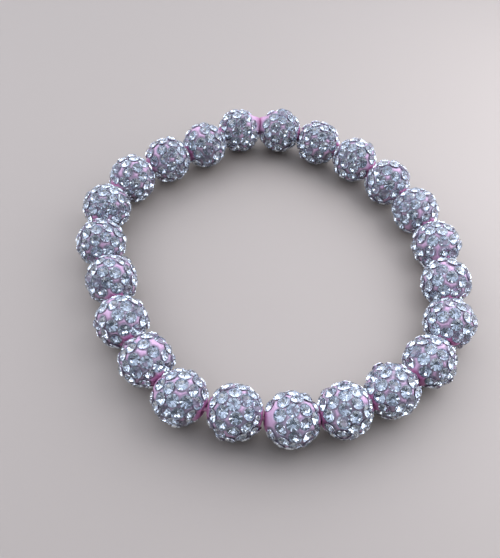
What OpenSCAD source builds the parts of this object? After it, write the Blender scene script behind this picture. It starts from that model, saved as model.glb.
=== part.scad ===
// Stretch bracelet of round pave crystal beads on a ring of elastic cord.
// It lies flat as a closed, slightly uneven loop, with every bead resting on the plane z = 0.
// The origin is under the middle of the loop's outer box, at the resting plane.

/* [Bead] */
// Diameter of a bead over the flat tops of its stones
bead_d = 8; // [6:0.5:12]
// Height of the stone field over the clay ball
stone_rise = 0.25; // [0.1:0.05:0.3]
// Half angle of the bare clay cap round each end of the hole
bare_cap_deg = 34; // [34:1:40]
// Diameter of the hole through a bead
bore_d = 1.5; // [1.3:0.1:1.8]

/* [Loop] */
// Least clearance between the clay balls of two neighbouring beads
end_gap = 0.12; // [0.1:0.01:0.5]
// Heading of the link from the first bead to the second, anticlockwise from +X
first_heading = -11; // [-30:1:30]

/* [Elastic] */
// Diameter of the elastic cord
elastic_d = 0.6; // [0.4:0.1:0.6]

/* [Hidden] */
// The beads in order round the loop, anticlockwise seen from above, starting at the front left.
// One row a bead: its node, how far the string of beads turns there, in degrees, and how much
// further than end_gap the next bead lies off, in mm, where the string is slack.
BEADS = [
    ["bead_01", 32, 0.3],
    ["bead_02", 8, 0.2],
    ["bead_03", 19, 0],
    ["bead_04", 12, 0],
    ["bead_05", 13, 0.2],
    ["bead_06", 21, 0.2],
    ["bead_07", 26, 0],
    ["bead_08", 8, 0],
    ["bead_09", 16, 0],
    ["bead_10", 14, 0],
    ["bead_11", 13, 0],
    ["bead_12", 12, 0],
    ["bead_13", 11, 0.1],
    ["bead_14", 25, 0],
    ["bead_15", 32, 0],
    ["bead_16", -2, 0],
    ["bead_17", 8, 0],
    ["bead_18", 22, 0.1],
    ["bead_19", 28, 0],
    ["bead_20", 19, 0],
    ["bead_21", -2, 0.2],
    ["bead_22", 16, 0],
    ["bead_23", 9, 0]
];
NODE_NAME = 0;
TURN = 1;
SLACK = 2;

COUNT = len(BEADS);
FULL_TURN = 360;
clay_d = bead_d - 2 * stone_rise;
pitches = [for (row = BEADS) clay_d + end_gap + row[SLACK]];
rest_height = bead_d / 2;
// Share of the difference between its neighbours' turns by which a bead's hole leans off the bisector
hole_lean = 1 / 8;
// The cutter for a bare cap starts this share of the clay's radius out, and ends past the bead
cap_start = 0.8;
cap_end = 1.2;
bead_fn = 96;
bore_fn = 48;
elastic_sides = 8;
rings_per_knot = 2;

crystal_pink = [0.80, 0.76, 0.82];
clear_pink = [0.93, 0.82, 0.90];

function total(list, upto) = upto < 0 ? list[0] * 0 : list[upto] + total(list, upto - 1);
function wrap(i) = (i + COUNT) % COUNT;
function unit(heading) = [cos(heading), sin(heading)];
function heading_of(step) = atan2(step[1], step[0]);
function signed(angle) = angle - FULL_TURN * round(angle / FULL_TURN);

// The turns are scaled to close exactly, and each link to the next bead follows them.
turns = [for (row = BEADS) row[TURN]];
turn_scale = FULL_TURN / total(turns, COUNT - 1);
links = [for (i = [0 : COUNT - 1])
    pitches[i] * unit(first_heading + turn_scale * (total(turns, i) - turns[0]))];
// What is left open between the last bead and the first is shared out among the links.
opening = total(links, COUNT - 1) / COUNT;
walk = [for (i = [0 : COUNT - 1]) total(links, i - 1) - i * opening];
low = [min([for (p = walk) p[0]]), min([for (p = walk) p[1]])];
high = [max([for (p = walk) p[0]]), max([for (p = walk) p[1]])];
centres = [for (p = walk) p - (low + high) / 2];

// Headings of the closed loop's links, its turn at each bead, and each bead's hole.
headings = [for (i = [0 : COUNT - 1]) heading_of(centres[wrap(i + 1)] - centres[i])];
bends = [for (i = [0 : COUNT - 1]) signed(headings[i] - headings[wrap(i - 1)])];
holes = [for (i = [0 : COUNT - 1])
    headings[i] - bends[i] / 2 + hole_lean * (bends[wrap(i - 1)] - bends[wrap(i + 1)])];

// Where the holes of bead i and the next one meet, between the two.
function joint_after(i) = let (next = wrap(i + 1))
    (centres[i] + centres[next] + (unit(holes[i]) - unit(holes[next])) * pitches[i] / 2) / 2;

// The elastic runs through each bead's centre and each joint, on a smooth closed curve.
knots = [for (i = [0 : COUNT - 1]) each [centres[i], joint_after(i)]];
KNOTS = len(knots);
function knot(k) = knots[(k + KNOTS) % KNOTS];
// Catmull-Rom curve between knots k and k + 1, at share t of the way.
function on_curve(k, t) = let (a = knot(k - 1), b = knot(k), c = knot(k + 1), d = knot(k + 2))
    b + (c - a) * t / 2 + (2 * a - 5 * b + 4 * c - d) * t * t / 2 + (3 * (b - c) + d - a) * t * t * t / 2;

RINGS = KNOTS * rings_per_knot;
route = [for (k = [0 : KNOTS - 1]) for (s = [0 : rings_per_knot - 1]) on_curve(k, s / rings_per_knot)];
function route_at(j) = route[(j + RINGS) % RINGS];

module clay_ball() {
    sphere(d = clay_d, $fn = bead_fn);
}

// A cone from the bead's middle that clears the bare cap at the +Z end.
module cap_cutter() {
    start = cap_start * clay_d / 2;
    end = cap_end * bead_d / 2;
    translate([0, 0, start])
        cylinder(h = end - start, r1 = start * tan(bare_cap_deg), r2 = end * tan(bare_cap_deg), $fn = bead_fn);
}

// The ring of set stones, up to the sphere that their flat tops touch.
module stone_field() {
    difference() {
        sphere(d = bead_d, $fn = bead_fn);
        cap_cutter();
        mirror([0, 0, 1]) cap_cutter();
    }
}

// One bead with its hole along Z: a clay ball, bare at both ends, and the raised field of stones.
module drilled_bead() {
    difference() {
        union() {
            clay_ball();
            stone_field();
        }
        cylinder(h = 2 * bead_d, d = bore_d, center = true, $fn = bore_fn);
    }
}

// Bead i in its place, with its hole laid along the string.
module bead(i) {
    color(crystal_pink)
        translate([centres[i][0], centres[i][1], rest_height])
            rotate([0, 90, holes[i]])
                drilled_bead();
}

// A closed tube swept along the route, one ring of corners at a time.
module elastic() {
    corners = [for (j = [0 : RINGS - 1])
        let (along = unit(heading_of(route_at(j + 1) - route_at(j - 1))), out = [along[1], -along[0]])
        for (s = [0 : elastic_sides - 1])
            let (a = (s + 0.5) * FULL_TURN / elastic_sides, side = out * cos(a) * elastic_d / 2)
            [route[j][0] + side[0], route[j][1] + side[1], rest_height + sin(a) * elastic_d / 2]];
    faces = [for (j = [0 : RINGS - 1]) for (s = [0 : elastic_sides - 1])
        let (n = (j + 1) % RINGS, u = (s + 1) % elastic_sides)
        [j * elastic_sides + s, j * elastic_sides + u, n * elastic_sides + u, n * elastic_sides + s]];
    color(clear_pink) polyhedron(points = corners, faces = faces);
}

for (i = [0 : COUNT - 1]) {
    bead(i);
}
elastic();
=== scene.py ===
"""Looks of a stretch bracelet of pave crystal beads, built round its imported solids.

Each bead is a ball of pink polymer clay with a socket for each of its round, silver-backed crystals. The
beads lie on a closed ring of clear elastic. Everything is in metres in the row frame. The beads' places and
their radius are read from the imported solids.
"""

from __future__ import annotations

import logging
import math
from abc import ABC, abstractmethod
from dataclasses import dataclass, field, replace
from enum import Enum
from typing import ClassVar

import bpy
import numpy as np
from mathutils import Matrix, Vector


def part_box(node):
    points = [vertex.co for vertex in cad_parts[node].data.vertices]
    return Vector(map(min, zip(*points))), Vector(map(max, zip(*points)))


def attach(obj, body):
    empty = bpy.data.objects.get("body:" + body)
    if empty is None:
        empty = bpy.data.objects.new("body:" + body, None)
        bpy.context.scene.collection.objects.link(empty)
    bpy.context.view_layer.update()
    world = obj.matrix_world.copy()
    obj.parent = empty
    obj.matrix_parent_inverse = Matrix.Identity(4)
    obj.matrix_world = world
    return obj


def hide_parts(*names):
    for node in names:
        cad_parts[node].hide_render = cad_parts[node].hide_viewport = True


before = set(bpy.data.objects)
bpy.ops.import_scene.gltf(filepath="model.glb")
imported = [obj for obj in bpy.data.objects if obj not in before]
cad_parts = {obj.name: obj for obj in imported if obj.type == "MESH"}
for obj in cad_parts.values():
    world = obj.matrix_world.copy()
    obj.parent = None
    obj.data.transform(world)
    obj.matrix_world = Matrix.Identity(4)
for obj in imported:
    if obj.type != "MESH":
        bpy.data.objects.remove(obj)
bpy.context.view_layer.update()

LOG = logging.getLogger("bracelet")
MM = 0.001
MICROMETRE_DIGITS = 6
FULL_TURN = 2 * math.pi
# A length that is as good as none, and one that is larger than any in a unit ball.
TINY, FAR = 1e-9, 10.0
# The least part of a unit direction along an axis that counts as lying along it.
ALONG_AXIS = 0.9
IMAGE_WIDTH, IMAGE_HEIGHT = 500, 558
# The names of the clay's two marks of painted shade: greyer in the gaps between crystals, deeper pink round
# the holes.
GAP_SHADE_MARK, HOLE_SHADE_MARK = "gap", "hole"

# Where the photograph shows bare clay: for each bead, a row for each patch, with how far right and up of the
# bead's middle it is, as shares of its radius, how many degrees from it the nearest crystal's middle is and,
# where the clay swells there, by how many millimetres.
BARE_PATCHES = {
    "bead_01": ((-0.93, 0.30, 21), (-0.62, 0.72, 19)),
    "bead_02": ((-0.55, 0.70, 19), (-0.68, 0.20, 19), (0.26, 0.16, 19), (-0.70, -0.50, 18)),
    "bead_03": ((-0.60, 0.42, 22), (0.75, 0.42, 21), (-0.68, -0.28, 19)),
    "bead_04": ((-0.78, 0.50, 20), (-0.33, -0.02, 18), (-0.22, -0.65, 18)),
    "bead_05": ((-0.88, 0.32, 19), (-0.60, 0.72, 18), (0.10, 0.70, 17.5), (0.00, -0.60, 18)),
    "bead_06": ((-0.46, -0.15, 21), (0.18, -0.52, 19)),
    "bead_07": ((-0.08, 0.58, 21), (-0.32, -0.05, 19), (0.45, -0.30, 17.5)),
    "bead_08": ((-0.08, 0.82, 22), (0.16, 0.60, 18), (0.02, 0.00, 20)),
    "bead_09": ((-0.75, 0.00, 19), (0.07, -0.35, 19), (0.57, -0.05, 17.5)),
    "bead_10": ((0.20, -0.24, 19), (-0.32, -0.75, 24), (0.47, 0.50, 17.5)),
    "bead_11": ((0.02, -0.80, 19), (0.40, 0.62, 19)),
    "bead_12": ((0.60, 0.15, 21), (0.25, -0.50, 19), (-0.70, 0.70, 19)),
    "bead_13": ((-0.22, -0.45, 18), (0.45, -0.50, 17.5)),
    "bead_14": ((-0.88, 0.47, 33, 0.52), (-0.96, 0.15, 24), (-0.55, 0.72, 21)),
    "bead_15": ((0.88, 0.47, 33, 0.52), (0.96, 0.15, 24), (0.62, 0.68, 19)),
    "bead_16": ((-0.60, 0.68, 21), (-0.30, 0.40, 18), (-0.20, -0.70, 17.5)),
    "bead_17": ((-0.58, 0.52, 21), (-0.05, 0.68, 19), (-0.40, -0.20, 19)),
    "bead_18": ((-0.05, 0.60, 17.5), (-0.55, 0.10, 17.5)),
    "bead_19": ((-0.56, -0.42, 19), (0.12, -0.38, 19), (0.50, 0.15, 17.5)),
    "bead_20": ((0.10, -0.10, 17.5), (0.65, -0.25, 19), (-0.62, -0.38, 19)),
    "bead_21": ((0.35, 0.52, 21), (0.15, -0.02, 18), (-0.15, -0.43, 18), (-0.50, -0.70, 19)),
    "bead_22": ((0.07, 0.02, 19), (-0.20, -0.45, 19), (0.55, -0.05, 18), (-0.72, 0.30, 18)),
    "bead_23": ((-0.33, 0.35, 20), (-0.34, 0.80, 19), (0.36, 0.66, 20), (0.30, 0.02, 18)),
}


class Slot(Enum):
    """The record's material slots."""

    BEAD = "crystal_bead"
    CLAY = "bead_clay"
    ELASTIC = "elastic_cord"


# Mesh helpers


@dataclass(frozen=True)
class Surface:
    """A mesh as whole arrays.

    Attributes:
        points: one row of x, y, z for each vertex, in metres.
        corners: the vertex of each face corner, face after face.
        sizes: how many corners each face has.
        finishes: which of the piece's materials each face wears.
        marks: by name, a number from 0 to 1 for each vertex that a material reads.
    """

    points: np.ndarray
    corners: np.ndarray
    sizes: np.ndarray
    finishes: np.ndarray
    marks: dict[str, np.ndarray] = field(default_factory=dict)


def smooth_step(share: np.ndarray) -> np.ndarray:
    """Rises smoothly from 0 to 1 as share does: 3 * share ** 2 - 2 * share ** 3."""
    share = np.clip(share, 0, 1)
    return share * share * (3 - 2 * share)


def unit(vectors: np.ndarray) -> np.ndarray:
    """Vectors of length 1 along the given ones: v / |v|."""
    return vectors / np.maximum(np.linalg.norm(vectors, axis=-1, keepdims=True), TINY)


def direction(polar: np.ndarray, around: np.ndarray) -> np.ndarray:
    """Unit directions by their angles from x and round it: (cos p, sin p * cos a, sin p * sin a)."""
    return np.stack([np.cos(polar), np.sin(polar) * np.cos(around), np.sin(polar) * np.sin(around)], -1)


def closed_grid(points: np.ndarray) -> Surface:
    """Joins a grid of points, closed both ways, with quads.

    Each quad joins neighbours (j, k), (j, k + 1), (j + 1, k + 1) and (j + 1, k).

    Args:
        points: rows x columns x 3 array.

    Returns:
        The surface, all in the piece's first material.
    """
    rows, columns = points.shape[:2]
    here = np.arange(rows * columns).reshape(rows, columns)
    below = np.roll(here, -1, 0)
    quads = np.stack([here, np.roll(here, -1, 1), np.roll(below, -1, 1), below], -1)
    return Surface(points.reshape(-1, 3), quads.ravel(), np.full(here.size, 4), np.zeros(here.size, int))


def make_piece(
    name: str, surface: Surface, materials: list[bpy.types.Material], smooth: bool,
) -> bpy.types.Object:
    """Puts a surface into a new object at the origin.

    Args:
        name: the object's name.
        surface: its mesh.
        materials: its material slots, in the order that the surface's finishes count them.
        smooth: whether its faces are shaded smooth.

    Returns:
        The new object, linked to the scene.
    """
    mesh = bpy.data.meshes.new(name)
    mesh.vertices.add(len(surface.points))
    mesh.vertices.foreach_set("co", surface.points.astype(np.float32).ravel())
    mesh.loops.add(len(surface.corners))
    mesh.loops.foreach_set("vertex_index", surface.corners.astype(np.int32))
    mesh.polygons.add(len(surface.sizes))
    mesh.polygons.foreach_set("loop_start", (np.cumsum(surface.sizes) - surface.sizes).astype(np.int32))
    mesh.polygons.foreach_set("material_index", surface.finishes.astype(np.int32))
    mesh.polygons.foreach_set("use_smooth", np.full(len(surface.sizes), smooth))
    for mark, values in surface.marks.items():
        mesh.attributes.new(mark, "FLOAT", "POINT").data.foreach_set("value", values.astype(np.float32))
    mesh.update(calc_edges=True)
    mesh.validate()
    for material in materials:
        mesh.materials.append(material)
    piece = bpy.data.objects.new(name, mesh)
    bpy.context.scene.collection.objects.link(piece)
    LOG.info("%s: %d faces", name, len(surface.sizes))
    return piece


def dress(piece: bpy.types.Object, slot: Slot, *nodes: str) -> None:
    """Rides a piece on the bracelet and hides the solids that it replaces.

    Args:
        piece: the object.
        slot: its material slot in the record; not used.
        nodes: the solids that it replaces.
    """
    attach(piece, "root")
    if nodes:
        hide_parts(*nodes)


# Material helpers


def linear(colour: str) -> tuple[float, float, float, float]:
    """Turns an sRGB hex colour, such as "#c07aa8", into linear red, green, blue and alpha.

    A dark channel is c / 12.92 and any other ((c + 0.055) / 1.055) ** 2.4, as the sRGB standard has it.

    Args:
        colour: the colour.

    Returns:
        Its four channels, with an alpha of 1.
    """
    channels = [int(colour[i : i + 2], 16) / 255 for i in (1, 3, 5)]
    return (*[c / 12.92 if c <= 0.04045 else ((c + 0.055) / 1.055) ** 2.4 for c in channels], 1.0)


def add_node(
    tree: bpy.types.NodeTree, kind: str, settings: dict[str, object] | None = None, **inputs: object,
) -> bpy.types.Node:
    """Adds a node to a tree.

    Args:
        tree: the material's, world's or picture's node tree.
        kind: the node's type, such as "ShaderNodeTexNoise".
        settings: values for the node's own properties.
        inputs: a value or a socket to link, for each input by its name with spaces as underscores, or by its
            place in the list after "at_".

    Returns:
        The new node.
    """
    node = tree.nodes.new(kind)
    for key, value in (settings or {}).items():
        setattr(node, key, value)
    for key, value in inputs.items():
        socket = node.inputs[int(key[3:])] if key.startswith("at_") else node.inputs[key.replace("_", " ")]
        if isinstance(value, bpy.types.NodeSocket):
            tree.links.new(value, socket)
        else:
            socket.default_value = value
    return node


# Finishes


@dataclass(frozen=True)
class Finish(ABC):
    """What a piece is made of and how that was made, as one principled shader."""

    name: ClassVar[str]

    @abstractmethod
    def look(self, tree: bpy.types.NodeTree) -> dict[str, object]:
        """Works out the shader's inputs, and adds to the tree the nodes that some of them come from.

        Args:
            tree: the material's node tree.

        Returns:
            The inputs, by their names for add_node.
        """

    def material(self) -> bpy.types.Material:
        """Builds the material.

        Returns:
            The material.
        """
        material = bpy.data.materials.new(self.name)
        material.use_nodes = True
        tree = material.node_tree
        tree.nodes.clear()
        shader = add_node(tree, "ShaderNodeBsdfPrincipled", **self.look(tree))
        add_node(tree, "ShaderNodeOutputMaterial", Surface=shader.outputs["BSDF"])
        return material


@dataclass(frozen=True)
class CutCrystal(Finish):
    """Clear machine-cut crystal glass: sharp polished facets that bend and split what lies behind them."""

    name: ClassVar[str] = "cut_crystal"
    tint: str = "#f3f8fa"
    ior: float = 1.56
    roughness: float = 0.0

    def look(self, tree: bpy.types.NodeTree) -> dict[str, object]:
        """The glass of the crowns.

        Args:
            tree: the material's node tree.

        Returns:
            The shader's inputs.
        """
        return dict(
            Base_Color=linear(self.tint), Roughness=self.roughness, IOR=self.ior, Transmission_Weight=1.0,
        )


@dataclass(frozen=True)
class SilverFoil(Finish):
    """Silver mirror foil on the back facets of a crystal, which sends the light back out of the crown."""

    name: ClassVar[str] = "silver_foil"
    colour: str = "#dee1e7"
    roughness: float = 0.07

    def look(self, tree: bpy.types.NodeTree) -> dict[str, object]:
        """The foil of the pavilions."""
        return dict(Base_Color=linear(self.colour), Metallic=1.0, Roughness=self.roughness)


@dataclass(frozen=True)
class PolymerClay(Finish):
    """Baked polymer clay: satin, slightly waxy, coloured right through, with a fine uneven skin.

    Its colour holds painted shade: it is greyed in the gaps between crystals, and deeper in colour round the
    holes, in the bores and on its swellings, where two beads shade each other.

    Attributes:
        colour: its colour, which its mottling carries to deep_colour.
        mottle_mm: how wide the mottling is.
        grain_mm: how wide the skin's grain is, drawn coarser than the real one so that it shows close by.
        grain_share: how much of grain_depth_mm the light sees.
    """

    name: ClassVar[str] = "polymer_clay_pink"
    colour: str = "#d6b2d0"
    deep_colour: str = "#caa0c4"
    # Painted shade: the greyer tone of the clay in the gaps between crystals.
    gap_shade_colour: str = "#b1a2b6"
    # Painted shade: the deeper pink round the holes, in the bores and on the swellings where two beads meet.
    hole_shade_colour: str = "#ba70a2"
    roughness: float = 0.42
    mottle_mm: float = 1.4
    mottle_detail: float = 2.0
    grain_mm: float = 0.12
    grain_detail: float = 1.0
    grain_depth_mm: float = 0.012
    grain_share: float = 0.5

    def look(self, tree: bpy.types.NodeTree) -> dict[str, object]:
        """The clay of the bead cores: two pinks mottled together, then the painted shade of each mark over
        them.

        Args:
            tree: the material's node tree.

        Returns:
            The shader's inputs.
        """
        place = add_node(tree, "ShaderNodeTexCoord").outputs["Object"]
        mottle = add_node(
            tree, "ShaderNodeTexNoise", Vector=place, Scale=1 / (self.mottle_mm * MM),
            Detail=self.mottle_detail,
        )
        colour = add_node(
            tree, "ShaderNodeMix", {"data_type": "RGBA"}, at_0=mottle.outputs["Fac"],
            at_6=linear(self.colour), at_7=linear(self.deep_colour),
        )
        # Painted shade: greyer in the gaps between crystals, deeper pink round the holes.
        for mark, painted_shade in ((GAP_SHADE_MARK, self.gap_shade_colour), (HOLE_SHADE_MARK, self.hole_shade_colour)):
            share = add_node(tree, "ShaderNodeAttribute", {"attribute_name": mark}).outputs["Fac"]
            colour = add_node(
                tree, "ShaderNodeMix", {"data_type": "RGBA"}, at_0=share, at_6=colour.outputs[2],
                at_7=linear(painted_shade),
            )
        grain = add_node(
            tree, "ShaderNodeTexNoise", Vector=place, Scale=1 / (self.grain_mm * MM),
            Detail=self.grain_detail,
        )
        bump = add_node(
            tree, "ShaderNodeBump", Strength=self.grain_share, Distance=self.grain_depth_mm * MM,
            Height=grain.outputs["Fac"],
        )
        return dict(
            Base_Color=colour.outputs[2], Roughness=self.roughness, Normal=bump.outputs["Normal"],
        )


@dataclass(frozen=True)
class ClearElastic(Finish):
    """Drawn polyurethane elastic cord: clear, slightly milky, pink with painted light from the clay round it.

    Attributes:
        roughness: of its clearest and its dullest streaks.
        streak_mm: how wide the streaks are.
        milk_share: how much of the light scatters inside it, over about milk_depth_mm.
    """

    name: ClassVar[str] = "clear_elastic"
    # Painted light: a pink that stands in for the light that the clay round the cord gives it.
    colour: str = "#d79cc4"
    ior: float = 1.5
    roughness: tuple[float, float] = (0.25, 0.5)
    streak_mm: float = 0.3
    streak_detail: float = 1.0
    milk_share: float = 0.3
    milk_depth_mm: float = 0.4

    def look(self, tree: bpy.types.NodeTree) -> dict[str, object]:
        """The elastic of the string: one colour, with clearer and duller streaks.

        Args:
            tree: the material's node tree.

        Returns:
            The shader's inputs.
        """
        place = add_node(tree, "ShaderNodeTexCoord").outputs["Object"]
        streak = add_node(
            tree, "ShaderNodeTexNoise", Vector=place, Scale=1 / (self.streak_mm * MM),
            Detail=self.streak_detail,
        )
        rough = add_node(
            tree, "ShaderNodeMapRange", at_0=streak.outputs["Fac"], at_3=self.roughness[0],
            at_4=self.roughness[1],
        )
        return dict(
            Base_Color=linear(self.colour), Roughness=rough.outputs[0], IOR=self.ior,
            Subsurface_Weight=self.milk_share, Subsurface_Scale=self.milk_depth_mm * MM,
        )


@dataclass(frozen=True)
class MattFloor(Finish):
    """Painted board with a matt finish: pale, even and without a reflection."""

    name: ClassVar[str] = "pale_floor"
    colour: str = "#a89e97"
    roughness: float = 0.6

    def look(self, tree: bpy.types.NodeTree) -> dict[str, object]:
        """The floor under the bracelet."""
        return dict(Base_Color=linear(self.colour), Roughness=self.roughness)


# The viewpoint


@dataclass(frozen=True)
class Viewpoint:
    """The photograph's viewpoint.

    Attributes:
        place: the camera from the bracelet's middle on the floor, in metres.
        elevation_deg: how far down it looks.
        roll_deg: its roll.
        focal_px: its focal length in pixels of the photograph's frame.
    """

    place: tuple[float, float, float] = (-3.07 * MM, -62.03 * MM, 83.98 * MM)
    elevation_deg: float = 54.98
    roll_deg: float = -5.06
    focal_px: float = 621.5

    def axes(self) -> np.ndarray:
        """Works out the camera's axes from its elevation and roll.

        Returns:
            Its right, up and backward axes as rows.
        """
        pitch, roll = math.radians(self.elevation_deg), math.radians(self.roll_deg)
        right = np.array([1.0, 0.0, 0.0])
        up = np.array([0.0, math.sin(pitch), math.cos(pitch)])
        backward = np.array([0.0, -math.cos(pitch), math.sin(pitch)])
        return np.stack([
            math.cos(roll) * right - math.sin(roll) * up,
            math.sin(roll) * right + math.cos(roll) * up,
            backward,
        ])

    def outward(self, centre: np.ndarray, right: float, up: float) -> np.ndarray:
        """Finds a place on a ball by where it is seen.

        With the line of sight as third axis, it is (right, up, sqrt(1 - right ** 2 - up ** 2)), or that
        without the last part for a place on the ball's outline.

        Args:
            centre: the ball's middle.
            right: how far right of it the place is seen, as a share of the ball's radius.
            up: how far up.

        Returns:
            The unit direction from the ball's middle to the place.
        """
        sight = unit(np.array(self.place) - centre)
        across = unit(self.axes()[0] - (self.axes()[0] @ sight) * sight)
        towards = math.sqrt(max(1 - right**2 - up**2, 0.0))
        return unit(right * across + up * np.cross(sight, across) + towards * sight)


# The crystal


@dataclass(frozen=True)
class Crystal:
    """One round crystal, the middle of its girdle at z = 0 and its table up, in metres.

    Attributes:
        diameter: across the girdle.
        table_share: the radius of the table's corners as a share of the girdle's.
        crown_height: from the girdle up to the table.
        pavilion_deg: how steeply the back facets fall to the culet.
        mains: facets of the crown, and as many behind.
    """

    diameter: float = 1.86 * MM
    table_share: float = 0.56
    crown_height: float = 0.27 * MM
    pavilion_deg: float = 41.0
    mains: int = 8

    @property
    def radius(self) -> float:
        """Radius of the girdle."""
        return self.diameter / 2

    @property
    def pavilion_slope(self) -> float:
        """Fall of the back facets for each metre inwards."""
        return math.tan(math.radians(self.pavilion_deg))

    def surface(self) -> Surface:
        """Builds the table, the crown facets, and the scalloped girdle and back facets, which are foiled.

        Each crown facet is the plane through one edge of the table and the girdle's point at its middle, and
        each back facet is the plane through the culet and that same point. Where two facets meet, at half a
        step to each side, the distance along the facet's middle is only radius * cos(half a step). So the
        crown's plane passes above the girdle's middle there and the back's below it, and the girdle between
        them is scalloped.

        Returns:
            The crystal, with its crown in the piece's first material and the rest in its second.
        """
        n = self.mains
        k = np.arange(n)
        step = FULL_TURN / n
        cut = math.cos(step / 2)
        table_r = self.table_share * self.radius
        crown_slope = self.crown_height / (self.radius - table_r * cut)
        short = self.radius * (1 - cut)

        def ring(angles: np.ndarray, r: float, z: float) -> np.ndarray:
            """Points at the given angles, radius and height."""
            return np.stack([r * np.cos(angles), r * np.sin(angles), np.full(len(angles), z)], -1)

        points = np.concatenate([
            ring(k * step, table_r, self.crown_height),
            ring((k + 0.5) * step, self.radius, 0.0),
            ring(k * step, self.radius, crown_slope * short),
            ring(k * step, self.radius, -self.pavilion_slope * short),
            [[0.0, 0.0, -self.pavilion_slope * self.radius]],
        ])
        after, before = (k + 1) % n, (k - 1) % n
        table, middle, upper, lower, culet = k, n + k, 2 * n + k, 3 * n + k, np.full(n, 4 * n)
        facets = [
            np.stack([table, upper, middle, upper[after], table[after]], -1),
            np.stack([upper, lower, middle], -1),
            np.stack([lower, upper, middle[before]], -1),
            np.stack([middle, lower, culet, lower[after]], -1),
        ]
        corners = np.concatenate([table] + [facet.ravel() for facet in facets])
        sizes = np.concatenate([[n]] + [np.full(n, facet.shape[1]) for facet in facets])
        finishes = np.concatenate([np.zeros(1 + n, int), np.ones(3 * n, int)])
        return Surface(points, corners, sizes, finishes)


# The bead


@dataclass(frozen=True)
class StoneSeats:
    """Where the crystals of one bead sit, in the bead's own axes with its hole along x.

    Attributes:
        outward: the unit direction of each seat from the bead's middle.
        facing: the unit direction that each crystal's table faces, a few degrees off outward.
        spin: each crystal's turn about its own axis.
        lift: how far each crystal stands out of its even seat, in metres.
        size: each crystal's size as a share of the full one.
    """

    outward: np.ndarray
    facing: np.ndarray
    spin: np.ndarray
    lift: np.ndarray
    size: np.ndarray


@dataclass(frozen=True)
class StoneLayout:
    """The rings in which crystals are pressed round a bead's hole, and how unevenly.

    Attributes:
        ring_polar_deg: angle of each ring from the hole.
        ring_counts: crystals in each ring.
        most_left_out: up to so many are missing from a bead.
        scatter_deg: how far a crystal starts off its even place, as a standard deviation.
        wall: the least clay between the girdles of two crystals.
        tilt_deg: how far a table faces off outward, as a standard deviation.
        lift_spread: how unevenly deep the crystals are pressed in, as a standard deviation.
        proud_share: the share of crystals that stand proud_lift further out.
        rounds: how often the crystals push each other.
        push_share: how much of an overlap each of two crystals gives way by in a round.
    """

    ring_polar_deg: tuple[float, ...] = (40.0, 65.0, 90.0, 115.0, 140.0)
    ring_counts: tuple[int, ...] = (8, 11, 13, 11, 8)
    most_left_out: int = 2
    scatter_deg: float = 4.0
    wall: float = 0.04 * MM
    tilt_deg: float = 6.5
    lift_spread: float = 0.04 * MM
    proud_share: float = 0.15
    proud_lift: float = 0.15 * MM
    rounds: int = 600
    push_share: float = 0.3

    @staticmethod
    def spans(at: np.ndarray) -> tuple[np.ndarray, np.ndarray]:
        """The vectors between each two seats and their lengths, with a seat counted as far from itself."""
        apart = at[:, None] - at[None, :]
        return apart, np.linalg.norm(apart, axis=-1) + FAR * np.eye(len(at))

    @staticmethod
    def clear(at: np.ndarray, middle: np.ndarray, angle: float) -> np.ndarray:
        """Moves the seats inside a bare patch to its edge: middle * cos(angle) + away * sin(angle).

        Args:
            at: unit directions of the seats.
            middle: unit direction of the patch's middle.
            angle: how far from it the nearest seat may be.

        Returns:
            The seats' new directions.
        """
        along = at @ middle
        away = unit(at - along[:, None] * middle)
        edge = middle * math.cos(angle) + away * math.sin(angle)
        return np.where((along > math.cos(angle))[:, None], edge, at)

    def seats(
        self, diameter: float, edge_radius: float, bare: np.ndarray, bare_angles: np.ndarray,
        missing: np.ndarray, rng: np.random.Generator,
    ) -> StoneSeats:
        """Lays out one bead.

        The crystals start evenly round each ring, each ring turned at random and each crystal moved a few
        degrees. Then, over and over, any two that are too close push each other apart along the line between
        them, and any that is inside a bare patch moves to its edge along the great circle from its middle.
        The girdles of two crystals touch when the chord between their seats on the unit ball is diameter /
        edge_radius, and one that is left with less than that and the wall is so much smaller.

        Args:
            diameter: of a crystal's girdle.
            edge_radius: distance of the girdle's edge from the bead's middle.
            bare: unit directions of the middles of the patches that hold no crystal.
            bare_angles: how far from each of those the nearest seat may be.
            missing: unit directions at each of which the nearest crystal is left out.
            rng: the bead's random numbers.

        Returns:
            The seats.
        """
        polar = np.radians(np.repeat(self.ring_polar_deg, self.ring_counts))
        around = np.concatenate([
            (np.arange(count) + rng.random()) * FULL_TURN / count for count in self.ring_counts
        ])
        kept = rng.permutation(len(polar))[rng.integers(0, self.most_left_out + 1):]
        scatter = rng.normal(0, math.radians(self.scatter_deg), (2, len(kept)))
        polar = polar[kept] + scatter[0]
        around = around[kept] + scatter[1] / np.sin(polar)
        at = direction(polar, around)
        for middle in missing:
            at = np.delete(at, (at @ middle).argmax(), 0)
        least = (diameter + self.wall) / edge_radius
        for _ in range(self.rounds):
            apart, gap = self.spans(at)
            push = np.clip(least - gap, 0, None) / gap
            at = unit(at + self.push_share * (apart * push[..., None]).sum(1))
            for middle, angle in zip(bare, bare_angles):
                at = self.clear(at, middle, angle)
        facing = unit(at + rng.normal(0, math.radians(self.tilt_deg), at.shape))
        lift = rng.normal(0, self.lift_spread, len(at))
        lift += self.proud_lift * (rng.random(len(at)) < self.proud_share)
        size = np.minimum(self.spans(at)[1].min(1) / least, 1)
        return StoneSeats(at, facing, rng.random(len(at)) * FULL_TURN, lift, size)


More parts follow.
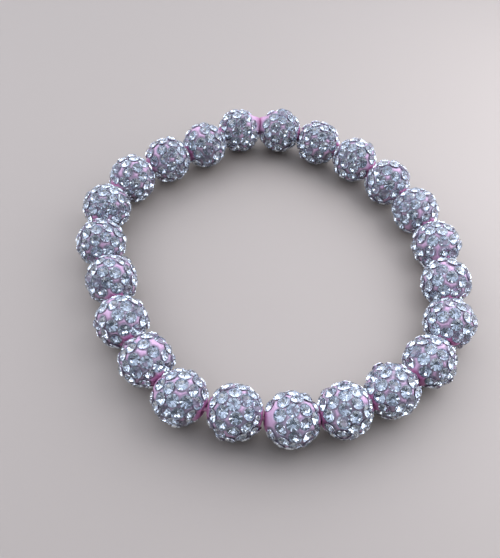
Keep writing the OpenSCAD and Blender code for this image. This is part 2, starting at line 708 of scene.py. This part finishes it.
@dataclass
class PaveBead:
    """One bead: a clay ball with a hole, and the crystals set in it.

    Attributes:
        node: the bead's node, which the clay ball replaces.
        centre: its middle.
        outer_radius: of the ball that the crystals' tables touch.
        heading: direction of its hole, as an angle from +X in the plane that the bracelet lies on.
        neighbours: from its middle to the next and the last bead's, as rows.
        patches: unit directions from its middle to its bare patches, as rows.
        patch_angles: how many degrees from each patch's middle the nearest crystal's middle is.
        patch_swells: how far the clay swells there, in metres.
        seed: seeds its random numbers.
        crystal: the stone that it is set with.
        layout: how its stones are laid out.
        clay_radius: of the bare clay.
        cap_radius: of the clay round the hole, where the neighbour leaves room for it.
        cap_deg: the angles from the hole's axis between which the clay falls from there to its own radius.
        hole_bare_deg: how far from the hole's axis the nearest crystal's middle is.
        contact_bare_deg: how far it is from the point where a neighbour touches.
        contact_gap: how far the bead stays behind the plane halfway to its neighbour.
        headroom: how far a crystal may stand over the bead's top.
        press_cos: the least cosine to a plane's normal that a crystal is pressed in by.
        gap_deg: a patch with a larger angle than this takes the place of a crystal.
        swell_margin_deg: how far inside a patch's angle its swelling ends.
        swell_fall_deg: over how many degrees it falls.
        lip_radius: of the rounding between the clay and the bore.
        moat_depth: how deep the clay lies beside a crystal.
        moat_reach: the distances from a crystal between which the clay rises again.
        hole_shade_deg: the angles from the hole's axis between which the clay's painted shade fades.
        full_shade_swell: how high a swelling would have to be to wear all of that painted shade.
        socket_clearance: how far under the foil the clay lies.
        socket_edge: how far outside a girdle its socket's edge runs.
        unevenness: how high the waves in the clay are.
        wave_count: how many waves cross the ball.
        wave_spread: how many radians of a wave go to a radius, as a standard deviation.
        rows, columns: of the grid over the ball.
        lip_rows, bore_rows: of the grid over each lip and through the bore.
    """

    node: str
    centre: np.ndarray
    outer_radius: float
    heading: float
    neighbours: np.ndarray
    patches: np.ndarray
    patch_angles: np.ndarray
    patch_swells: np.ndarray
    seed: int
    crystal: Crystal = field(default_factory=Crystal)
    layout: StoneLayout = field(default_factory=StoneLayout)
    clay_radius: float = 3.75 * MM
    cap_radius: float = 3.92 * MM
    cap_deg: tuple[float, float] = (22.0, 36.0)
    hole_bare_deg: float = 32.5
    contact_bare_deg: float = 26.5
    contact_gap: float = 0.015 * MM
    headroom: float = 0.14 * MM
    press_cos: float = 0.5
    gap_deg: float = 20.5
    swell_margin_deg: float = 13.0
    swell_fall_deg: float = 18.0
    bore_radius: float = 0.75 * MM
    lip_radius: float = 0.15 * MM
    moat_depth: float = 0.17 * MM
    moat_reach: tuple[float, float] = (0.09 * MM, 0.26 * MM)
    hole_shade_deg: tuple[float, float] = (18.0, 32.0)
    full_shade_swell: float = 0.6 * MM
    socket_clearance: float = 0.13 * MM
    socket_edge: float = 0.01 * MM
    unevenness: float = 0.02 * MM
    wave_count: int = 6
    wave_spread: float = 2.5
    rows: int = 66
    columns: int = 144
    lip_rows: int = 4
    bore_rows: int = 5

    def __post_init__(self) -> None:
        """Works out the bead's random numbers, its own axes and the planes that it stays behind."""
        self.rng = np.random.default_rng(self.seed)
        self.axes = self.own_axes(self.rng.random() * FULL_TURN)
        apart = np.linalg.norm(self.neighbours, axis=-1)
        self.contacts = (self.neighbours / apart[:, None]) @ self.axes.T
        self.contact_distances = apart / 2 - self.contact_gap

    @property
    def girdle_radius(self) -> float:
        """Distance of the girdles from the bead's middle, with the tables' corners on the outer ball."""
        table_r = self.crystal.table_share * self.crystal.radius
        return math.sqrt(self.outer_radius**2 - table_r**2) - self.crystal.crown_height

    def own_axes(self, spin: float) -> np.ndarray:
        """Works out the bead's own axes: along the hole, and two square to it.

        Args:
            spin: how far those two are turned about the hole.

        Returns:
            The axes as rows.
        """
        along = np.array([math.cos(self.heading), math.sin(self.heading), 0.0])
        level = np.array([-math.sin(self.heading), math.cos(self.heading), 0.0])
        up = np.array([0.0, 0.0, 1.0])
        return np.stack([
            along,
            math.cos(spin) * level + math.sin(spin) * up,
            -math.sin(spin) * level + math.cos(spin) * up,
        ])

    def lay_out(self) -> StoneSeats:
        """Lays out the crystals clear of the hole and of the neighbours, and presses in those that stick out.

        No crystal may pass the plane that the bead rests on, the plane headroom above the bead or the planes
        halfway to its neighbours. One that passes a plane by some depth goes in along its own direction by
        depth / (direction . plane's normal).

        Returns:
            The seats.
        """
        patches = self.patches @ self.axes.T
        bare = np.concatenate([[[1.0, 0.0, 0.0], [-1.0, 0.0, 0.0]], self.contacts, patches])
        bare_angles = np.radians(np.concatenate([
            [self.hole_bare_deg] * 2, [self.contact_bare_deg] * 2, self.patch_angles,
        ]))
        missing = patches[self.patch_angles > self.gap_deg]
        edge_radius = math.hypot(self.girdle_radius, self.crystal.radius)
        seats = self.layout.seats(
            self.crystal.diameter, edge_radius, bare, bare_angles, missing, self.rng,
        )
        normals = np.concatenate([[-self.axes[:, 2], self.axes[:, 2]], self.contacts])
        distances = np.concatenate([
            [self.outer_radius, self.outer_radius + self.headroom], self.contact_distances,
        ])
        passed = (self.crystal_points(seats) @ normals.T).max(1) - distances
        press = np.clip(passed, 0, None) / np.clip(seats.outward @ normals.T, self.press_cos, None)
        return replace(seats, lift=seats.lift - press.max(1))

    def crystal_points(self, seats: StoneSeats) -> np.ndarray:
        """Sets a copy of the crystal's points on every seat.

        A point (x, y, z) of the crystal goes to seat * distance + size * (x * e1 + y * e2 + z * facing),
        where e1 and e2 are square to facing and turned by the crystal's spin.

        Args:
            seats: the crystals' seats.

        Returns:
            Crystals x points x 3 array, in the bead's own axes.
        """
        faces_x = np.abs(seats.facing[:, :1]) >= ALONG_AXIS
        e1 = unit(np.cross(np.where(faces_x, [[0.0, 1.0, 0.0]], [[1.0, 0.0, 0.0]]), seats.facing))
        e2 = np.cross(seats.facing, e1)
        c, s = np.cos(seats.spin)[:, None], np.sin(seats.spin)[:, None]
        turned = np.stack([c * e1 + s * e2, c * e2 - s * e1, seats.facing], 1) * seats.size[:, None, None]
        girdles = seats.outward * (self.girdle_radius + seats.lift)[:, None]
        return np.einsum("vi,nij->nvj", self.crystal.surface().points, turned) + girdles[:, None]

    def crystals(self, seats: StoneSeats) -> Surface:
        """Builds all the crystals.

        Args:
            seats: their seats.

        Returns:
            One surface, in the bead's own axes.
        """
        one = self.crystal.surface()
        count = len(seats.outward)
        corners = (one.corners[None] + np.arange(count)[:, None] * len(one.points)).ravel()
        points = self.crystal_points(seats).reshape(-1, 3)
        return Surface(points, corners, np.tile(one.sizes, count), np.tile(one.finishes, count))

    @staticmethod
    def near_hole(at: np.ndarray, fades_deg: tuple[float, float]) -> np.ndarray:
        """How near the hole each unit direction is, falling from 1 to 0 between two angles from its axis."""
        polar = np.degrees(np.arccos(np.clip(np.abs(at[..., 0]), 0, 1)))
        return smooth_step((fades_deg[1] - polar) / (fades_deg[1] - fades_deg[0]))

    def near_stone(self, outside: np.ndarray) -> np.ndarray:
        """How near a crystal the clay is, falling from 1 to 0 over the reach of its moat."""
        near, far = self.moat_reach
        return 1 - smooth_step((outside - near) / (far - near))

    def swelling(self, at: np.ndarray) -> np.ndarray:
        """Works out how far the clay swells in its patches, falling smoothly to their edges.

        Args:
            at: unit directions.

        Returns:
            The height of the swelling at each.
        """
        height = np.zeros(at.shape[:-1])
        for patch, angle, swell in zip(self.patches @ self.axes.T, self.patch_angles, self.patch_swells):
            off = np.degrees(np.arccos(np.clip(at @ patch, -1, 1)))
            height += swell * smooth_step((angle - self.swell_margin_deg - off) / self.swell_fall_deg)
        return height

    def clay_height(self, at: np.ndarray, outside: np.ndarray) -> np.ndarray:
        """Height of the clay where it is bare.

        The ball swells to cap_radius round the hole and by its own swell in a patch, but stays behind the
        planes halfway to the neighbours, r <= distance / (direction . plane's normal). Beside a crystal it
        lies moat_depth lower, and rises smoothly with the distance outside the girdle. A few low waves that
        cross the ball make it uneven.

        Args:
            at: unit directions.
            outside: distance of each outside the nearest girdle.

        Returns:
            The distance of the clay from the bead's middle in each direction.
        """
        height = self.clay_radius + (self.cap_radius - self.clay_radius) * self.near_hole(at, self.cap_deg)
        height = height + self.swelling(at) - self.moat_depth * self.near_stone(outside)
        waves = self.rng.normal(0, 1, (self.wave_count, 3)) * self.wave_spread
        phases = self.rng.random(self.wave_count) * FULL_TURN
        height = height + self.unevenness * np.sin(at @ waves.T + phases).mean(-1)
        limits = self.contact_distances / np.maximum(at @ self.contacts.T, TINY)
        return np.minimum(height, limits.min(-1))

    def hole(self, far_x: np.ndarray, near_x: np.ndarray, around: np.ndarray) -> np.ndarray:
        """Carries the clay from the ball's last row through the hole to its first.

        Each lip turns a quarter circle into the bore. After a turn t it is lip_radius * (1 - cos(t)) further
        in along the hole and lip_radius * sin(t) closer to its axis.

        Args:
            far_x: where along the hole each column of the ball ends.
            near_x: where it starts.
            around: each column's angle round the hole.

        Returns:
            Rows x columns x 3 array, in the bead's own axes.
        """
        turn = np.linspace(0, math.pi / 2, self.lip_rows + 1)[1:, None]
        inwards = self.lip_radius * (1 - np.cos(turn))
        far_lip, near_lip = far_x + inwards, near_x - inwards
        share = np.linspace(0, 1, self.bore_rows)[1:-1, None]
        bore = far_lip[-1] + (near_lip[-1] - far_lip[-1]) * share
        lip_side = self.bore_radius + self.lip_radius - self.lip_radius * np.sin(turn)
        x = np.concatenate([far_lip, bore, near_lip[::-1]])
        side = np.concatenate([lip_side, np.full_like(share, self.bore_radius), lip_side[::-1]])
        return np.stack([x, side * np.cos(around), side * np.sin(around)], -1)

    def clay(self, seats: StoneSeats) -> Surface:
        """Builds the clay ball as a closed grid: over the ball, round one lip and back through the hole.

        Outside the girdles the clay is bare. Inside one, it falls along the pavilion, just under the foil:
        girdle's plane - clearance + slope * e, where e is the distance outside the girdle. Vertices close to
        a girdle slide to the edge of its socket, so that each socket is round.

        Args:
            seats: the crystals' seats.

        Returns:
            The clay in the bead's own axes, with its marks for the painted shade in the gaps and round the
            hole.
        """
        start = math.asin((self.bore_radius + self.lip_radius) / self.clay_radius)
        polar = np.linspace(start, math.pi - start, self.rows)
        around = np.arange(self.columns) * FULL_TURN / self.columns
        at = direction(*np.meshgrid(polar, around, indexing="ij"))

        near = at @ seats.outward.T
        nearest = near.argmax(-1)
        seat, facing, lift = seats.outward[nearest], seats.facing[nearest], seats.lift[nearest]
        angle = np.arccos(np.clip(near.max(-1), -1, 1))
        girdle_angle = self.crystal.radius * seats.size[nearest] / self.girdle_radius
        outside = (angle - girdle_angle) * self.clay_radius
        close = np.abs(outside) < self.clay_radius * (math.pi - 2 * start) / self.rows / 2
        away = unit(at - seat * np.cos(angle)[..., None])
        edge_angle = (girdle_angle + self.socket_edge / self.clay_radius)[..., None]
        at = np.where(close[..., None], seat * np.cos(edge_angle) + away * np.sin(edge_angle), at)
        outside = np.where(close, self.socket_edge, outside)

        plane = (self.girdle_radius + lift) * (seat * facing).sum(-1) / (at * facing).sum(-1)
        under = plane - self.socket_clearance + outside * self.crystal.pavilion_slope
        over = self.clay_height(at, outside)
        ball = at * np.where(outside < 0, np.minimum(under, over), over)[..., None]

        hole = self.hole(ball[-1, :, 0], ball[0, :, 0], around)
        # Painted shade: the deeper pink grows towards the hole and with a swelling and is full in the bore,
        # and the grey is full beside a crystal.
        hole_shade = np.clip(self.near_hole(at, self.hole_shade_deg) + self.swelling(at) / self.full_shade_swell, 0, 1)
        marks = {
            GAP_SHADE_MARK: np.concatenate([self.near_stone(outside), np.zeros(hole.shape[:2])]).ravel(),
            HOLE_SHADE_MARK: np.concatenate([hole_shade, np.ones(hole.shape[:2])]).ravel(),
        }
        return replace(closed_grid(np.concatenate([ball, hole])), marks=marks)

    def placed(self, surface: Surface) -> Surface:
        """Turns a surface from the bead's own axes and moves it to the bead's place."""
        return replace(surface, points=surface.points @ self.axes + self.centre)

    def build(self, finishes: dict[str, bpy.types.Material]) -> int:
        """Makes the bead's two pieces.

        Args:
            finishes: the materials by their use.

        Returns:
            How many crystals it holds.
        """
        seats = self.lay_out()
        clay = make_piece(f"{self.node}_clay", self.placed(self.clay(seats)), [finishes["clay"]], True)
        dress(clay, Slot.CLAY, self.node)
        stones = make_piece(
            f"{self.node}_crystals", self.placed(self.crystals(seats)),
            [finishes["crystal"], finishes["foil"]], False,
        )
        dress(stones, Slot.BEAD)
        LOG.info("%s: %d crystals", self.node, len(seats.outward))
        return len(seats.outward)


# The string


@dataclass
class String:
    """The string of beads: where each bead is, which way its hole points, and the elastic through them all.

    Attributes:
        names: the beads' nodes in order round the loop.
        centres: their middles.
        bead_radius: their radius.
        hole_lean: how much a bead's hole leans with its neighbours' bends.
        sides: of the elastic's round section.
        rings_per_knot: how many sections it has for each knot of its route.
        first_seed: seeds the first bead, and the next numbers seed the others.
    """

    names: list[str]
    centres: np.ndarray
    bead_radius: float
    elastic_radius: float = 0.3 * MM
    hole_lean: float = 1 / 8
    sides: int = 12
    rings_per_knot: int = 4
    first_seed: int = 100

    @classmethod
    def from_frame(cls) -> String:
        """Reads the beads from the frame.

        Returns:
            The string, with its beads in the order of their numbers.
        """
        names = sorted(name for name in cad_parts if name.startswith("bead_"))
        corners = np.array([[list(corner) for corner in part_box(name)] for name in names])
        heights = corners[:, 1, 2] - corners[:, 0, 2]
        return cls(names, corners.mean(1), round(float(heights.mean()) / 2, MICROMETRE_DIGITS))

    def headings(self) -> np.ndarray:
        """Works out the direction of each bead's hole.

        It halves the angle between the links on both sides, and leans by a share of the difference between
        its neighbours' bends, as in the solids.

        Returns:
            The angles from +X.
        """
        steps = np.roll(self.centres, -1, 0) - self.centres
        link = np.arctan2(steps[:, 1], steps[:, 0])
        bend = (link - np.roll(link, 1) + math.pi) % FULL_TURN - math.pi
        return link - bend / 2 + self.hole_lean * (np.roll(bend, 1) - np.roll(bend, -1))

    def route(self) -> np.ndarray:
        """Lays the elastic through each bead's middle and each joint of two holes.

        Between the knots b and c, with a before and d after them, it is the Catmull-Rom curve b + (c - a) *
        t / 2 + (2a - 5b + 4c - d) * t ** 2 / 2 + (3(b - c) + d - a) * t ** 3 / 2, where t goes from 0 to 1.

        Returns:
            Its points as rows.
        """
        angles = self.headings()
        holes = np.stack([np.cos(angles), np.sin(angles), np.zeros_like(angles)], -1)
        after = np.roll(self.centres, -1, 0)
        half = np.linalg.norm(after - self.centres, axis=-1, keepdims=True) / 2
        joints = (self.centres + after + (holes - np.roll(holes, -1, 0)) * half) / 2
        knots = np.stack([self.centres, joints], 1).reshape(-1, 1, 3)
        a, b, c, d = (np.roll(knots, shift, 0) for shift in (1, 0, -1, -2))
        t = (np.arange(self.rings_per_knot) / self.rings_per_knot)[None, :, None]
        curve = b + (c - a) * t / 2 + (2 * a - 5 * b + 4 * c - d) * t**2 / 2
        curve = curve + (3 * (b - c) + d - a) * t**3 / 2
        return curve.reshape(-1, 3)

    def elastic(self) -> Surface:
        """Sweeps a circle along the route: centre + r * (cos(s) * sideways + sin(s) * up).

        Returns:
            The closed ring.
        """
        route = self.route()
        along = unit(np.roll(route, -1, 0) - np.roll(route, 1, 0))
        sideways = np.stack([along[:, 1], -along[:, 0], np.zeros(len(along))], -1)
        s = np.arange(self.sides) * FULL_TURN / self.sides
        up = np.array([0.0, 0.0, 1.0])
        ring = np.cos(s)[None, :, None] * sideways[:, None] + np.sin(s)[None, :, None] * up
        return closed_grid(route[:, None] + self.elastic_radius * ring)

    def build(self, finishes: dict[str, bpy.types.Material], view: Viewpoint) -> None:
        """Makes every bead and the elastic.

        Args:
            finishes: the materials by their use.
            view: where the bare patches' places were read from.
        """
        nexts = np.roll(self.centres, -1, 0) - self.centres
        neighbours = np.stack([nexts, -np.roll(nexts, 1, 0)], 1)
        total = 0
        for number, (name, centre, heading) in enumerate(zip(self.names, self.centres, self.headings())):
            rows = np.array([(*row, 0.0)[:4] for row in BARE_PATCHES[name]])
            patches = np.stack([view.outward(centre, right, up) for right, up in rows[:, :2]])
            total += PaveBead(
                name, centre, self.bead_radius, heading, neighbours[number], patches,
                patch_angles=rows[:, 2], patch_swells=rows[:, 3] * MM, seed=self.first_seed + number,
            ).build(finishes)
        cord = make_piece("elastic_cord", self.elastic(), [finishes["elastic"]], True)
        dress(cord, Slot.ELASTIC, "elastic")
        LOG.info("string: %d beads with %d crystals, and the elastic", len(self.names), total)


# The studio


@dataclass(frozen=True)
class Softbox:
    """One round light over the bracelet.

    Attributes:
        azimuth_deg: its direction from the bracelet, anticlockwise from +X.
        elevation_deg: its height over the floor.
        distance: how far it stands, in metres.
        width: its diameter, in metres.
        brightness: its radiance, where 1 shows as white.
        colour: its colour.
    """

    name: str
    azimuth_deg: float
    elevation_deg: float
    distance: float
    width: float
    brightness: float
    colour: str = "#ffffff"

    def build(self) -> None:
        """Makes the light, turned towards the bracelet.

        A disk of diameter d and power P shines with a radiance of 4 * P / (pi * d) ** 2.
        """
        light = bpy.data.lights.new(self.name, "AREA")
        light.shape = "DISK"
        light.size = self.width
        light.energy = self.brightness * (math.pi * self.width) ** 2 / 4
        light.color = linear(self.colour)[:3]
        azimuth, elevation = math.radians(self.azimuth_deg), math.radians(self.elevation_deg)
        outward = Vector((
            math.cos(elevation) * math.cos(azimuth),
            math.cos(elevation) * math.sin(azimuth),
            math.sin(elevation),
        ))
        lamp = bpy.data.objects.new(self.name, light)
        lamp.location = outward * self.distance
        lamp.rotation_mode = "QUATERNION"
        lamp.rotation_quaternion = (-outward).to_track_quat("-Z", "Y")
        bpy.context.scene.collection.objects.link(lamp)


@dataclass(frozen=True)
class Studio:
    """A plain pale floor, soft light and the camera at the photograph's angle.

    Attributes:
        view: the photograph's viewpoint.
        sensor_mm: width of the camera's sensor.
        clip: the nearest and the furthest that the camera sees, in metres.
        floor_half: half the side of the floor.
        bright_side: the brightest direction of the room.
        horizon_heights: the sines of the elevations between which the pale horizon gives way to the room.
        room_colours: the room's colour, from the side opposite the brightest direction (0) to it (1).
        bloom_from: the brightness from which a light spot spreads a soft bloom.
        bounces: how often light bounces in all, and off gloss and through glass.
        lights: the lights, by name, azimuth, elevation, distance, width, brightness and colour.
    """

    view: Viewpoint = field(default_factory=Viewpoint)
    sensor_mm: float = 36.0
    clip: tuple[float, float] = (0.005, 10.0)
    floor_half: float = 3.0
    bright_side: tuple[float, float, float] = (-0.25, 0.85, 0.45)
    horizon_colour: str = "#969290"
    horizon_heights: tuple[float, float] = (0.10, 0.30)
    room_colours: tuple[tuple[float, str], ...] = (
        (0.0, "#1c1d20"), (0.45, "#4e5258"), (0.75, "#cbd4e4"), (1.0, "#e2e5ed"),
    )
    room_strength: float = 1.90
    bloom_from: float = 0.85
    bloom_strength: float = 0.24
    bloom_size: float = 0.3
    bounces: tuple[int, int] = (24, 20)
    lights: tuple[Softbox, ...] = (
        Softbox("key_window", 132, 38, 1.20, 1.05, 1.1, "#ecf1fb"),
        Softbox("left_window", 176, 34, 0.17, 0.09, 1.6, "#f0f4ff"),
        Softbox("right_window", 18, 36, 0.11, 0.14, 2.4, "#f0f3fb"),
        Softbox("back_window", 82, 34, 1.20, 0.85, 1.1, "#f0f4ff"),
        Softbox("pale_wall", -142, 42, 1.20, 0.80, 0.3, "#e8eef8"),
        Softbox("spark_back", 92, 62, 1.20, 0.24, 1.8),
        Softbox("spark_left", 178, 42, 1.20, 0.24, 1.8),
        Softbox("spark_front", -112, 34, 1.20, 0.18, 2.4),
        Softbox("spark_right", 30, 58, 1.20, 0.24, 1.8),
    )

    def camera(self) -> None:
        """Makes the camera."""
        data = bpy.data.cameras.new("photo_camera")
        data.sensor_width = self.sensor_mm
        data.lens = self.view.focal_px * self.sensor_mm / max(IMAGE_WIDTH, IMAGE_HEIGHT)
        data.clip_start, data.clip_end = self.clip
        camera = bpy.data.objects.new("photo_camera", data)
        camera.location = self.view.place
        camera.rotation_mode = "QUATERNION"
        camera.rotation_quaternion = Matrix(self.view.axes().T.tolist()).to_quaternion()
        bpy.context.scene.collection.objects.link(camera)
        bpy.context.scene.camera = camera

    def floor(self) -> None:
        """Makes the floor, a plain sheet at the plane that the beads rest on."""
        h = self.floor_half
        points = np.array([[-h, -h, 0.0], [h, -h, 0.0], [h, h, 0.0], [-h, h, 0.0]])
        sheet = Surface(points, np.arange(4), np.array([4]), np.zeros(1, int))
        make_piece("floor", sheet, [MattFloor().material()], False)

    def sky(self) -> None:
        """Lights the room: bright and cool behind the bracelet, dim on the camera's side.

        The light that comes from a direction depends on its dot product with the brightest direction.
        """
        world = bpy.data.worlds.new("room")
        bpy.context.scene.world = world
        world.use_nodes = True
        tree = world.node_tree
        tree.nodes.clear()
        ray = add_node(tree, "ShaderNodeTexCoord").outputs["Generated"]
        product = add_node(
            tree, "ShaderNodeVectorMath", {"operation": "DOT_PRODUCT"}, at_0=ray,
            at_1=Vector(self.bright_side).normalized(),
        )
        share = add_node(tree, "ShaderNodeMapRange", at_0=product.outputs["Value"], at_1=-1.0, at_2=1.0)
        ramp = add_node(tree, "ShaderNodeValToRGB", Fac=share.outputs[0])
        stops = ramp.color_ramp.elements
        while len(stops) < len(self.room_colours):
            # A new stop starts halfway between the ramp's own two, and gets its real place below.
            stops.new(0.5)
        for stop, (position, colour) in zip(stops, self.room_colours):
            stop.position = position
            stop.color = linear(colour)
        height = add_node(tree, "ShaderNodeSeparateXYZ", at_0=ray)
        low = add_node(
            tree, "ShaderNodeMapRange", {"interpolation_type": "SMOOTHSTEP"}, at_0=height.outputs["Z"],
            at_1=self.horizon_heights[0], at_2=self.horizon_heights[1],
        )
        room = add_node(
            tree, "ShaderNodeMix", {"data_type": "RGBA"}, at_0=low.outputs[0],
            at_6=linear(self.horizon_colour), at_7=ramp.outputs["Color"],
        )
        background = add_node(
            tree, "ShaderNodeBackground", Color=room.outputs[2], Strength=self.room_strength,
        )
        add_node(tree, "ShaderNodeOutputWorld", Surface=background.outputs["Background"])

    def picture(self) -> None:
        """Sets the plain sRGB picture, a soft bloom round its sparkles and the bounces in the crystals."""
        scene = bpy.context.scene
        scene.view_settings.view_transform = "Standard"
        scene.cycles.max_bounces = self.bounces[0]
        scene.cycles.glossy_bounces = scene.cycles.transmission_bounces = self.bounces[1]
        scene.use_nodes = True
        tree = scene.node_tree
        tree.nodes.clear()
        glare = add_node(
            tree, "CompositorNodeGlare", {"glare_type": "BLOOM"},
            Image=add_node(tree, "CompositorNodeRLayers").outputs["Image"],
            Threshold=self.bloom_from, Strength=self.bloom_strength, Size=self.bloom_size,
        )
        add_node(tree, "CompositorNodeComposite", Image=glare.outputs["Image"])

    def build(self) -> None:
        """Makes the camera, floor, sky and lights, and sets the picture."""
        self.camera()
        self.floor()
        self.sky()
        self.picture()
        for light in self.lights:
            light.build()
        LOG.info("studio: %d lights", len(self.lights))


def main() -> None:
    """Builds the studio and the bracelet."""
    logging.basicConfig(level=logging.INFO, format="%(name)s: %(message)s")
    studio = Studio()
    studio.build()
    finishes = {
        "crystal": CutCrystal().material(),
        "foil": SilverFoil().material(),
        "clay": PolymerClay().material(),
        "elastic": ClearElastic().material(),
    }
    String.from_frame().build(finishes, studio.view)


if __name__ == "__main__":
    main()
